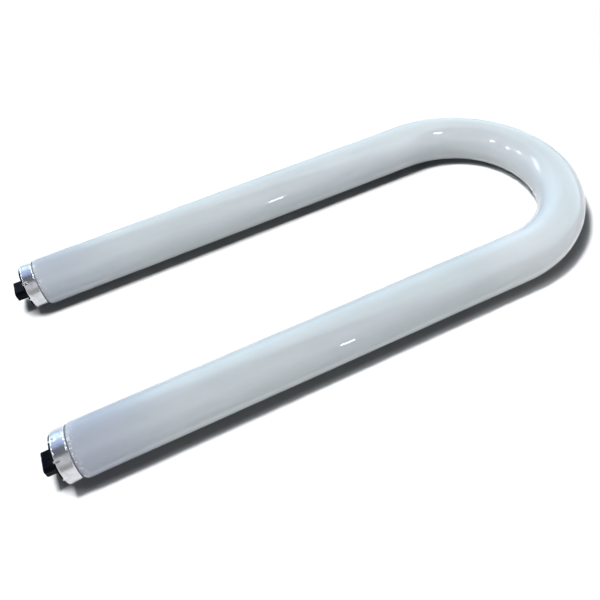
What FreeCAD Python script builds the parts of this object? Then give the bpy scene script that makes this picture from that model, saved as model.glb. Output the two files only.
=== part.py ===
import FreeCAD, Part
import math
import os
import Sketcher
from FreeCAD import Placement, Rotation, Vector

# U-shaped fluorescent lamp with a recessed double-contact base on each end, in millimetres.
# It lies flat: the bend points along +X, the legs stand side by side along Y, and the tube rests on Z = 0.
# The origin is under the middle of the lamp's box.

DRIVING_SIZES = {
    # glass tube
    "tube_diameter": 38.0,
    "leg_spacing": 165.0,
    "leg_length": 336.5,
    "bend_thinning": 1.4,
    "shoulder_length": 5.5,
    "neck_edge_radius": 1.2,
    # drawn aluminium cap shell: its lip laps over the glass shoulder, and its rim turns in over the insulator
    "cap_step": 0.9,
    "cap_lap": 1.3,
    "cap_length": 9.6,
    "cap_wall": 0.45,
    "cap_lip_length": 1.2,
    "cap_lip_rise": 0.45,
    "rim_radius": 1.1,
    "rim_width": 1.3,
    # staked crimps round the rim
    "stake_count": 8,
    "stake_angle": 83.0,
    "stake_groove_width": 3.0,
    "stake_groove_depth": 0.3,
    "stake_groove_length": 3.8,
    "stake_lug_width": 1.5,
    "stake_lug_height": 0.7,
    "stake_lug_clearance": 0.15,
    "stake_lug_setback": 0.5,
    # ring of basing cement between the neck and the shell
    "cement_thickness": 0.65,
    "cement_inset": 1.6,
    # moulded insulator
    "insulator_clearance": 0.05,
    "flange_thickness": 2.4,
    "disc_proud": 1.3,
    "disc_edge_radius": 0.4,
    "boss_width": 16.0,
    "boss_thickness": 8.2,
    "boss_height": 9.5,
    "boss_corner_radius": 2.4,
    "boss_edge_radius": 0.5,
    "well_end_wall": 1.3,
    "well_side_wall": 1.6,
    "well_rib": 3.4,
    "well_corner_radius": 1.0,
    "well_depth": 6.0,
    # rivet contacts and lead wires
    "contact_head_clearance": 0.7,
    "contact_head_edge": 0.5,
    "contact_dome_rise": 0.5,
    "contact_shank_diameter": 2.0,
    "contact_tail_flare": 0.6,
    "contact_tail_thickness": 0.5,
    "lead_diameter": 0.7,
    "lead_seat_depth": 1.0,
    "lead_run": 1.55,
}

doc = FreeCAD.newDocument("u_lamp")
sheet = doc.addObject("Spreadsheet::Sheet", "Sizes")
for row, (alias, number) in enumerate(DRIVING_SIZES.items(), start=1):
    sheet.set(f"A{row}", alias)
    sheet.set(f"B{row}", str(number))
    sheet.setAlias(f"B{row}", alias)
doc.recompute()

# Radii
TUBE_R = "(Sizes.tube_diameter / 2)"
BEND_R = "(Sizes.leg_spacing / 2)"
BEND_TUBE_R = f"({TUBE_R} - Sizes.bend_thinning)"
CAP_R = f"({TUBE_R} - Sizes.cap_step)"
CAP_BORE_R = f"({CAP_R} - Sizes.cap_wall)"
NECK_R = f"({CAP_BORE_R} - Sizes.cement_thickness)"
RIM_BORE_R = f"({CAP_R} - Sizes.rim_width)"
RIM_INNER_RADIUS = "(Sizes.rim_radius - Sizes.cap_wall)"
FLANGE_R = f"({CAP_BORE_R} - Sizes.insulator_clearance)"
DISC_R = f"({RIM_BORE_R} - Sizes.insulator_clearance)"
CONTACT_SHANK_R = "(Sizes.contact_shank_diameter / 2)"
CONTACT_HOLE_R = f"({CONTACT_SHANK_R} + Sizes.insulator_clearance)"
CONTACT_TAIL_R = f"({CONTACT_SHANK_R} + Sizes.contact_tail_flare)"
LEAD_R = "(Sizes.lead_diameter / 2)"

# Two wells share the boss, with a wall all round them and a rib between them
WELL_WIDTH = "((Sizes.boss_width - 2 * Sizes.well_end_wall - Sizes.well_rib) / 2)"
WELL_HEIGHT = "(Sizes.boss_thickness - 2 * Sizes.well_side_wall)"
WELL_OFFSET = f"(({WELL_WIDTH} + Sizes.well_rib) / 2)"
CONTACT_HEAD_R = f"({WELL_WIDTH} / 2 - Sizes.contact_head_clearance)"

# Stations along a leg, counted outwards from the edge of the glass shoulder
LIP_AT = "(-Sizes.cap_lap)"
RIM_AT = f"({LIP_AT} + Sizes.cap_length)"
RIM_INSIDE_AT = f"({RIM_AT} - Sizes.cap_wall)"
FLANGE_BACK_AT = f"({RIM_INSIDE_AT} - Sizes.flange_thickness)"
DISC_FACE_AT = f"({RIM_AT} + Sizes.disc_proud)"
BOSS_FACE_AT = f"({DISC_FACE_AT} + Sizes.boss_height)"
WELL_FLOOR_AT = f"({BOSS_FACE_AT} - Sizes.well_depth)"
CONTACT_BACK_AT = f"({FLANGE_BACK_AT} - Sizes.contact_tail_thickness)"
NECK_END_AT = f"({CONTACT_BACK_AT} - Sizes.lead_run)"

# The bend's centre, with the whole lamp centred on the origin along X
BEND_X = f"((Sizes.leg_length + {BOSS_FACE_AT} - {BEND_R} - {BEND_TUBE_R}) / 2)"

# A base piece is made about its own Z axis, which points out along the leg; its X runs across the lamp.
ACROSS = Vector(0, 1, 0)
DOWN = Vector(0, 0, -1)
OUTWARDS = Vector(-1, 0, 0)
BASE_TURN = Rotation(ACROSS, DOWN, OUTWARDS, "ZXY")
LEGS = {"left": 1, "right": -1}

ORIGIN_POINT = (-1, 1)
AXIS_ACROSS = -1
AXIS_ALONG = -2
START = 1
END = 2
CENTRE = 3
HALF_CIRCLE = "half circle"

# The bend's round sections in degrees round it, and the turn over which the glass thins down
BEND_SECTIONS = range(0, 181, 15)
BEND_RUN_IN = 60

pieces = []


def size(formula):
    """Value of a formula on the sheet."""
    return float(sheet.evalExpression(formula))


def new_body(label):
    body = doc.addObject("PartDesign::Body", label)
    body.Label = label
    pieces.append(body)
    return body


def origin_plane(body, role):
    return next(item for item in body.Origin.OriginFeatures if item.Role == role)


def new_sketch(body, name, role, turn=None, **offsets):
    """A sketch on one of the body's own planes, turned in it and moved in its axes by formulas."""
    sketch = body.newObject("Sketcher::SketchObject", f"{body.Label}_{name}")
    sketch.AttachmentSupport = [(origin_plane(body, role), "")]
    sketch.MapMode = "FlatFace"
    for axis, formula in offsets.items():
        sketch.setExpression(f"AttachmentOffset.Base.{axis}", formula)
    if turn:
        sketch.setExpression("AttachmentOffset.Rotation.Angle", turn)
    return sketch


def new_feature(body, kind, name, sketch):
    feature = body.newObject(f"PartDesign::{kind}", f"{body.Label}_{name}")
    feature.Profile = sketch
    return feature


def revolve(body, name, sketch, axis):
    feature = new_feature(body, "Revolution", name, sketch)
    feature.ReferenceAxis = (sketch, [axis])
    feature.Angle = 360
    return feature


def hold(sketch, kind, formula, *where):
    """A dimension that follows a formula."""
    index = sketch.addConstraint(Sketcher.Constraint(kind, *where, size(formula)))
    sketch.setExpression(f"Constraints[{index}]", formula)


def locate(sketch, edge, point, across, along):
    """Hold a point of an edge at two formulas from the sketch's origin."""
    for kind, axis, formula in (("DistanceX", AXIS_ALONG, across), ("DistanceY", AXIS_ACROSS, along)):
        if formula == "0":
            sketch.addConstraint(Sketcher.Constraint("PointOnObject", edge, point, axis))
        elif size(formula) > 0:
            hold(sketch, kind, formula, *ORIGIN_POINT, edge, point)
        else:
            hold(sketch, kind, f"-({formula})", edge, point, *ORIGIN_POINT)


def arc_between(start, end, radius, centre_on_left):
    """The shorter arc of a radius from start to end, drawn anticlockwise, and whether that swaps its ends."""
    chord = end - start
    middle = (start + end) * 0.5
    reach = math.sqrt(max(radius ** 2 - chord.Length ** 2 / 4, 0.0))
    sideways = Vector(-chord.y, chord.x, 0).normalize() * reach
    centre = middle + sideways if centre_on_left else middle - sideways
    first, last = (start, end) if centre_on_left else (end, start)
    angles = [math.atan2(point.y - centre.y, point.x - centre.x) for point in (first, last)]
    circle = Part.Circle(centre, Vector(0, 0, 1), radius)
    return Part.ArcOfCircle(circle, *angles), not centre_on_left


def draw(sketch, corners, arcs=None, closed=True):
    """Edges through corners held by formulas. arcs maps an edge's number to (radius, centre on its left).

    HALF_CIRCLE in place of a radius takes the edge's ends as a diameter centred on the sketch's Y axis.
    """
    arcs = arcs or {}
    points = [Vector(size(across), size(along), 0) for across, along in corners]
    count = len(corners) if closed else len(corners) - 1
    ends = []
    for number in range(count):
        start, end = points[number], points[(number + 1) % len(points)]
        swapped = False
        if number in arcs:
            radius, centre_on_left = arcs[number]
            reach = (end - start).Length / 2 if radius == HALF_CIRCLE else size(radius)
            geometry, swapped = arc_between(start, end, reach, centre_on_left)
        else:
            geometry = Part.LineSegment(start, end)
        edge = sketch.addGeometry(geometry, False)
        ends.append((edge, END, START) if swapped else (edge, START, END))
    for number, (edge, first, last) in enumerate(ends):
        if closed or number + 1 < count:
            next_edge, next_first, _ = ends[(number + 1) % count]
            sketch.addConstraint(Sketcher.Constraint("Coincident", edge, last, next_edge, next_first))
        locate(sketch, edge, first, *corners[number])
        if number in arcs and arcs[number][0] == HALF_CIRCLE:
            sketch.addConstraint(Sketcher.Constraint("PointOnObject", edge, CENTRE, AXIS_ALONG))
        elif number in arcs:
            hold(sketch, "Radius", arcs[number][0], edge)
    if not closed:
        edge, _, last = ends[-1]
        locate(sketch, edge, last, *corners[-1])


def draw_circle(sketch, across, along, radius):
    centre = Vector(size(across), size(along), 0)
    edge = sketch.addGeometry(Part.Circle(centre, Vector(0, 0, 1), size(radius)), False)
    locate(sketch, edge, CENTRE, across, along)
    hold(sketch, "Radius", radius, edge)


def draw_rounded_box(sketch, middle, width, height, corner):
    """A rectangle with round corners, centred on the sketch's X axis at a formula."""
    left, right = f"({middle} - {width} / 2)", f"({middle} + {width} / 2)"
    low, high = f"(-{height} / 2)", f"({height} / 2)"
    corners = [
        (f"{left} + {corner}", low), (f"{right} - {corner}", low),
        (right, f"{low} + {corner}"), (right, f"{high} - {corner}"),
        (f"{right} - {corner}", high), (f"{left} + {corner}", high),
        (left, f"{high} - {corner}"), (left, f"{low} + {corner}"),
    ]
    draw(sketch, corners, {edge: (corner, True) for edge in (1, 3, 5, 7)})


def flare_radius(run, rise):
    """Radius of the arc that leaves a straight wall smoothly and moves sideways by rise over run."""
    return f"(({run}) ^ 2 + ({rise}) ^ 2) / (2 * ({rise}))"


def stand_on_leg(piece, leg, out="0", aside="0"):
    """Put a base piece on the end of a leg, its own Z pointing out along the leg."""
    piece.Placement = Placement(Vector(), BASE_TURN)
    piece.setExpression("Placement.Base.x", f"{BEND_X} - Sizes.leg_length - ({out})")
    piece.setExpression("Placement.Base.y", f"{LEGS[leg]} * {BEND_R} + ({aside})")
    piece.setExpression("Placement.Base.z", TUBE_R)


def make_glass_tube():
    """One tube bent to a half circle, with a rounded shoulder and a neck worked into each end. It is sealed."""
    body = new_body("glass_tube")
    straight = "(Sizes.leg_length - Sizes.shoulder_length)"

    # Bending draws the softened glass thinner: the round section shrinks smoothly into the bend and out of it.
    path = new_sketch(body, "path", "XY_Plane")
    draw(path, [("0", f"-{BEND_R}"), ("0", BEND_R)], {0: (HALF_CIRCLE, False)}, closed=False)
    sections = []
    for turn in BEND_SECTIONS:
        drawn = min(turn, 180 - turn, BEND_RUN_IN) / BEND_RUN_IN
        thinning = drawn ** 2 * (3 - 2 * drawn)
        section = new_sketch(body, f"section_{turn}", "XZ_Plane")
        section.AttachmentOffset = Placement(Vector(), Rotation(Vector(0, 1, 0), -90 - turn))
        draw_circle(section, BEND_R, "0", f"{TUBE_R} - {thinning} * Sizes.bend_thinning")
        sections.append(section)
    bend = new_feature(body, "AdditivePipe", "bend", sections[0])
    bend.Spine = (path, [])
    bend.Transformation = "Multisection"
    bend.Sections = sections[1:]

    leg_sections = new_sketch(body, "leg_sections", "YZ_Plane")
    for side in (-1, 1):
        draw_circle(leg_sections, f"{side} * {BEND_R}", "0", TUBE_R)
    legs = new_feature(body, "Pad", "legs", leg_sections)
    legs.setExpression("Length", straight)

    drop = f"({TUBE_R} - {NECK_R})"
    neck_end = f"(Sizes.shoulder_length + {NECK_END_AT})"
    edge = "Sizes.neck_edge_radius"
    shoulder = new_sketch(body, "shoulder", "XY_Plane", x=straight, y=BEND_R)
    profile = [
        ("0", "0"), (neck_end, "0"),
        (neck_end, f"{NECK_R} - {edge}"), (f"{neck_end} - {edge}", NECK_R),
        ("Sizes.shoulder_length", NECK_R), ("0", TUBE_R),
    ]
    rounds = {2: (edge, True), 4: (flare_radius("Sizes.shoulder_length", drop), True)}
    draw(shoulder, profile, rounds)
    neck = revolve(body, "neck", shoulder, "H_Axis")

    both_necks = body.newObject("PartDesign::Mirrored", "glass_tube_both_necks")
    both_necks.Originals = [neck]
    both_necks.MirrorPlane = (origin_plane(body, "XZ_Plane"), [""])
    body.Tip = both_necks

    half_way_round = 180
    body.Placement = Placement(Vector(), Rotation(Vector(0, 0, 1), half_way_round))
    body.setExpression("Placement.Base.x", BEND_X)
    body.setExpression("Placement.Base.z", TUBE_R)


def make_cap_shell(leg):
    """Drawn aluminium shell: a flared lip towards the glass, a rolled rim over the insulator, staked all round."""
    body = new_body(f"{leg}_cap_shell")
    lip_r = f"({CAP_R} + Sizes.cap_lip_rise)"
    lip_bore_r = f"({CAP_BORE_R} + Sizes.cap_lip_rise)"
    lip_top = f"({LIP_AT} + Sizes.cap_lip_length)"
    corner_at = f"({RIM_AT} - Sizes.rim_radius)"
    corner_r = f"({CAP_R} - Sizes.rim_radius)"
    lip_flare = flare_radius("Sizes.cap_lip_length", "Sizes.cap_lip_rise")

    wall = new_sketch(body, "wall", "XZ_Plane")
    profile = [
        (lip_bore_r, LIP_AT), (lip_r, LIP_AT),
        (CAP_R, lip_top), (CAP_R, corner_at),
        (corner_r, RIM_AT), (RIM_BORE_R, RIM_AT),
        (RIM_BORE_R, RIM_INSIDE_AT), (corner_r, RIM_INSIDE_AT),
        (CAP_BORE_R, corner_at), (CAP_BORE_R, lip_top),
    ]
    rounds = {
        1: (lip_flare, False), 3: ("Sizes.rim_radius", True),
        7: (RIM_INNER_RADIUS, False), 9: (lip_flare, True),
    }
    draw(wall, profile, rounds)
    revolve(body, "shell", wall, "V_Axis")

    # Each stake is a V groove struck along the shell's corner, which pushes up a small lug beside the disc.
    # The first one stands near the top of the lamp: its angle is counted upwards from +Y.
    first_stake = "-Sizes.stake_angle"
    groove = new_sketch(body, "stake_groove", "XY_Plane", turn=first_stake, z=RIM_AT)
    groove_root = f"({CAP_R} - Sizes.stake_groove_depth)"
    groove_mouth = f"({CAP_R} + Sizes.stake_groove_depth)"
    groove_side = "Sizes.stake_groove_width"
    draw(groove, [(groove_root, "0"), (groove_mouth, f"-{groove_side}"), (groove_mouth, groove_side)])
    groove_cut = new_feature(body, "Pocket", "stake_cut", groove)
    groove_cut.setExpression("Length", "Sizes.stake_groove_length")

    lug = new_sketch(body, "stake_lug", "XY_Plane", turn=first_stake, z=RIM_INSIDE_AT)
    lug_inner = f"({RIM_BORE_R} + Sizes.stake_lug_clearance)"
    lug_outer = f"({CAP_R} - Sizes.stake_lug_setback)"
    lug_side = "(Sizes.stake_lug_width / 2)"
    draw(lug, [
        (lug_inner, f"-{lug_side}"), (lug_outer, f"-{lug_side}"),
        (lug_outer, lug_side), (lug_inner, lug_side),
    ])
    lug_pad = new_feature(body, "Pad", "stake_lug_pad", lug)
    lug_pad.setExpression("Length", "Sizes.cap_wall + Sizes.stake_lug_height")

    stakes = body.newObject("PartDesign::PolarPattern", f"{leg}_cap_shell_stakes")
    stakes.Originals = [groove_cut, lug_pad]
    stakes.Axis = (wall, ["V_Axis"])
    stakes.Angle = 360
    stakes.setExpression("Occurrences", "Sizes.stake_count")
    body.Tip = stakes
    stand_on_leg(body, leg)


def make_basing_cement(leg):
    """Hard cement that fills the ring between the glass neck and the shell."""
    body = new_body(f"{leg}_basing_cement")
    low = f"({LIP_AT} + Sizes.cement_inset)"
    high = f"({NECK_END_AT} - Sizes.neck_edge_radius)"
    ring = new_sketch(body, "ring", "XZ_Plane")
    draw(ring, [(NECK_R, low), (CAP_BORE_R, low), (CAP_BORE_R, high), (NECK_R, high)])
    revolve(body, "fill", ring, "V_Axis")
    stand_on_leg(body, leg)


def make_insulator(leg):
    """Black moulding: a flange held behind the rim, a disc that stands proud of it, and the oblong contact boss."""
    body = new_body(f"{leg}_insulator")
    flange_round = RIM_INNER_RADIUS
    edge = "Sizes.disc_edge_radius"
    step_at = f"({RIM_INSIDE_AT} - {flange_round})"

    half_section = new_sketch(body, "half_section", "XZ_Plane")
    profile = [
        ("0", FLANGE_BACK_AT), (FLANGE_R, FLANGE_BACK_AT),
        (FLANGE_R, step_at), (f"{FLANGE_R} - {flange_round}", RIM_INSIDE_AT),
        (DISC_R, RIM_INSIDE_AT), (DISC_R, f"{DISC_FACE_AT} - {edge}"),
        (f"{DISC_R} - {edge}", DISC_FACE_AT), ("0", DISC_FACE_AT),
    ]
    draw(half_section, profile, {2: (flange_round, True), 5: (edge, True)})
    revolve(body, "disc", half_section, "V_Axis")

    boss_outline = new_sketch(body, "boss_outline", "XY_Plane", z=DISC_FACE_AT)
    draw_rounded_box(boss_outline, "0", "Sizes.boss_width", "Sizes.boss_thickness", "Sizes.boss_corner_radius")
    boss = new_feature(body, "Pad", "boss", boss_outline)
    boss.setExpression("Length", "Sizes.boss_height")
    doc.recompute()

    highest = max(range(len(boss.Shape.Faces)), key=lambda face: boss.Shape.Faces[face].CenterOfMass.z)
    front_edge = body.newObject("PartDesign::Fillet", f"{leg}_insulator_front_edge")
    front_edge.Base = (boss, [f"Face{highest + 1}"])
    front_edge.setExpression("Radius", "Sizes.boss_edge_radius")

    places = (f"(-{WELL_OFFSET})", WELL_OFFSET)
    wells = new_sketch(body, "wells", "XY_Plane", z=BOSS_FACE_AT)
    for place in places:
        draw_rounded_box(wells, place, WELL_WIDTH, WELL_HEIGHT, "Sizes.well_corner_radius")
    well_cut = new_feature(body, "Pocket", "well_cut", wells)
    well_cut.setExpression("Length", "Sizes.well_depth")

    holes = new_sketch(body, "rivet_holes", "XY_Plane", z=WELL_FLOOR_AT)
    for place in places:
        draw_circle(holes, place, "0", CONTACT_HOLE_R)
    hole_cut = new_feature(body, "Pocket", "hole_cut", holes)
    hole_cut.setExpression("Length", f"{WELL_FLOOR_AT} - {FLANGE_BACK_AT}")
    body.Tip = hole_cut
    stand_on_leg(body, leg)


def make_contact(leg, where, aside):
    """Brass rivet on the floor of a well: a domed head, a shank through the insulator and a spread tail."""
    body = new_body(f"{leg}_{where}_contact")
    head_edge_at = f"({WELL_FLOOR_AT} + Sizes.contact_head_edge)"
    dome_at = f"({head_edge_at} + Sizes.contact_dome_rise)"
    seat_at = f"({CONTACT_BACK_AT} + Sizes.lead_seat_depth)"
    dome_radius = flare_radius(CONTACT_HEAD_R, "Sizes.contact_dome_rise")
    section = new_sketch(body, "half_section", "XZ_Plane")
    profile = [
        ("0", seat_at), (LEAD_R, seat_at), (LEAD_R, CONTACT_BACK_AT), (CONTACT_TAIL_R, CONTACT_BACK_AT),
        (CONTACT_TAIL_R, FLANGE_BACK_AT), (CONTACT_SHANK_R, FLANGE_BACK_AT),
        (CONTACT_SHANK_R, WELL_FLOOR_AT), (CONTACT_HEAD_R, WELL_FLOOR_AT),
        (CONTACT_HEAD_R, head_edge_at), ("0", dome_at),
    ]
    draw(section, profile, {8: (dome_radius, True)})
    revolve(body, "rivet", section, "V_Axis")
    stand_on_leg(body, leg, aside=aside)


def make_lead(leg, where, aside):
    """Wire from the seal in the glass to its seat in the back of a contact."""
    wire = doc.addObject("Part::Cylinder", f"{leg}_{where}_lead")
    wire.Label = f"{leg}_{where}_lead"
    wire.setExpression("Radius", LEAD_R)
    wire.setExpression("Height", "Sizes.lead_run + Sizes.lead_seat_depth")
    stand_on_leg(wire, leg, out=NECK_END_AT, aside=aside)
    pieces.append(wire)


make_glass_tube()
for leg_name, leg_sign in LEGS.items():
    make_cap_shell(leg_name)
    make_basing_cement(leg_name)
    make_insulator(leg_name)
    for contact_name, towards_middle in (("inner", -leg_sign), ("outer", leg_sign)):
        contact_aside = f"{towards_middle} * {WELL_OFFSET}"
        make_contact(leg_name, contact_name, contact_aside)
        make_lead(leg_name, contact_name, contact_aside)
doc.recompute()

# Nothing is written unless every object has been made and every piece is one sound solid.
failed = [item.Label for item in doc.Objects if "Invalid" in item.State or "Error" in item.State]
failed += [item.Label for item in pieces if item.Shape.isNull() or not item.Shape.isValid()]
failed += [item.Label for item in pieces if len(item.Shape.Solids) != 1]
if failed:
    raise RuntimeError(f"pieces that failed: {failed}")

os.makedirs("parts", exist_ok=True)
for piece in pieces:
    piece.Shape.exportStep(f"parts/{piece.Label}.step")
    box = piece.Shape.BoundBox
    print(f"{piece.Label}: {box.XLength:.2f} x {box.YLength:.2f} x {box.ZLength:.2f} mm, volume {piece.Shape.Volume:.1f}")
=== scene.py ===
import math

import bmesh
import bpy
from mathutils import Matrix, Vector


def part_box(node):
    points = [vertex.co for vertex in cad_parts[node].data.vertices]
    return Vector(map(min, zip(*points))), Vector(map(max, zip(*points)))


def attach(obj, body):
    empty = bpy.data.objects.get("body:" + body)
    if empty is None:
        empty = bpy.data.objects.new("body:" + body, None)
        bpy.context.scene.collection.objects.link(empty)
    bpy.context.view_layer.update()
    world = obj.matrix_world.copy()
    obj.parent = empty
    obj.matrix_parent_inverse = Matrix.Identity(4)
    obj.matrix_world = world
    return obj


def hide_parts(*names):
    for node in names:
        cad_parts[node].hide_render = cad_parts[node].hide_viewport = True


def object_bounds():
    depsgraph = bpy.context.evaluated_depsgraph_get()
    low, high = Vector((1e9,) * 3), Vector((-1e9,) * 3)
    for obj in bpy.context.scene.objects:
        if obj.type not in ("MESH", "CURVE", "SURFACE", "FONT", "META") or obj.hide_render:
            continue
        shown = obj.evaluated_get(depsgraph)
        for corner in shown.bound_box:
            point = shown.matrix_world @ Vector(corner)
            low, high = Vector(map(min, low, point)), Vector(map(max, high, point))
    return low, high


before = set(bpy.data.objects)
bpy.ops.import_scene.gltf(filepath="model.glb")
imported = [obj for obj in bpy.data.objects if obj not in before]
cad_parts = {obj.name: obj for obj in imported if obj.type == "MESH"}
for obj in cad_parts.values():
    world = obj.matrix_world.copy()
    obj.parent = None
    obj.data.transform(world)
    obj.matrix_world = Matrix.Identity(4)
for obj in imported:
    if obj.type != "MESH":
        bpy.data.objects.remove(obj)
cad_low, cad_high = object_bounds()

# Glass tube: one length of clear lamp glass with a white powder coating baked on its inside, softened and
# bent to a half circle, which draws it a little thinner there. Both ends are worked in to a rounded shoulder
# and a narrower neck, and sealed.
glass_low, glass_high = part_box("glass_tube")
TUBE_RADIUS = (glass_high.z - glass_low.z) / 2
BEND_RADIUS = (glass_high.y - glass_low.y) / 2 - TUBE_RADIUS
BEND_THINNING = 0.0014
BEND_RUN_IN = math.radians(60.0)
BEND_CENTRE_X = glass_high.x - BEND_RADIUS - TUBE_RADIUS + BEND_THINNING
SHOULDER_LENGTH = 0.0055
NECK_LENGTH = 0.0034
NECK_RADIUS = 0.0170
NECK_EDGE_RADIUS = 0.0012
LEG_LENGTH = BEND_CENTRE_X - glass_low.x - NECK_LENGTH
COATING_AT_BEND = (0.54, 0.58, 0.605, 1.0)
COATING_PAINTED_LIGHT = (0.585, 0.62, 0.64, 1.0)
COATING_ON_RIGHT_LEG = (0.48, 0.525, 0.55, 1.0)
COATING_ON_LEFT_LEG = (0.475, 0.52, 0.54, 1.0)
COATING_AT_ELECTRODE = (0.33, 0.365, 0.435, 1.0)
COATING_THIN = (0.91, 0.92, 0.94, 1.0)
PAINTED_SPARKLE = (0.92, 0.92, 0.92, 1.0)
LIP_SHADE = (0.10, 0.105, 0.12, 1.0)
RIGHT_LEG_FADE = (0.28, 0.42)
LEFT_LEG_FADE = (0.08, 0.42)
PAINTED_LIGHT_FROM = 0.285
PAINTED_LIGHT_MOST = 0.345
PAINTED_LIGHT_TO = 0.40
GREYED_LENGTH = (0.012, 0.085)
GREYED_RAGGED = 0.006
SPARKLE_LENGTH = (NECK_LENGTH + 0.003, NECK_LENGTH + 0.007)
LIP_SHADE_LENGTH = (NECK_LENGTH + 0.0017, NECK_LENGTH + 0.0029)
FLAME_WORKED_LENGTH = (NECK_LENGTH, NECK_LENGTH + 0.011)
DRAW_LINE_SHARE = 0.26
RIPPLE_SHARE = 0.2
STRAIGHTENED = "straightened"


def place_node(tree, kind, inputs=None, **settings):
    """Add a node, set its options, and wire or set its inputs by name or number."""
    node = tree.nodes.new(kind)
    for option, value in settings.items():
        setattr(node, option, value)
    for name, value in (inputs or {}).items():
        if isinstance(value, bpy.types.NodeSocket):
            tree.links.new(value, node.inputs[name])
        else:
            node.inputs[name].default_value = value
    return node


def work_out(tree, operation, *values):
    """One sum on numbers or sockets."""
    return place_node(tree, "ShaderNodeMath", dict(enumerate(values)), operation=operation).outputs[0]


def span(tree, value, low, high, to_low=0.0, to_high=1.0, smooth=False):
    """Carry a value from one range to another, held at both ends."""
    ends = {"Value": value, 1: low, 2: high, 3: to_low, 4: to_high}
    kind = "SMOOTHSTEP" if smooth else "LINEAR"
    return place_node(tree, "ShaderNodeMapRange", ends, interpolation_type=kind).outputs["Result"]


def blend_colour(tree, amount, first, second, blend_type="MIX"):
    inputs = {0: amount, 6: first, 7: second}
    return place_node(tree, "ShaderNodeMix", inputs, data_type="RGBA", blend_type=blend_type).outputs[2]


def stretched_noise(tree, coordinates, stretch, scale, detail=2.0, roughness=0.5):
    """Noise on coordinates that are stretched first. The stretch has three factors."""
    mapped = place_node(tree, "ShaderNodeMapping", {"Vector": coordinates, "Scale": stretch})
    settings = {"Vector": mapped.outputs[0], "Scale": scale, "Detail": detail, "Roughness": roughness}
    return place_node(tree, "ShaderNodeTexNoise", settings).outputs["Fac"]


def start_finish(name):
    """A new material and its empty tree."""
    material = bpy.data.materials.new(name)
    material.use_nodes = True
    material.node_tree.nodes.clear()
    return material, material.node_tree


def show_finish(tree, inputs):
    """Wire a Principled surface to the material's output."""
    surface = place_node(tree, "ShaderNodeBsdfPrincipled", inputs)
    place_node(tree, "ShaderNodeOutputMaterial", {"Surface": surface.outputs[0]})


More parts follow.
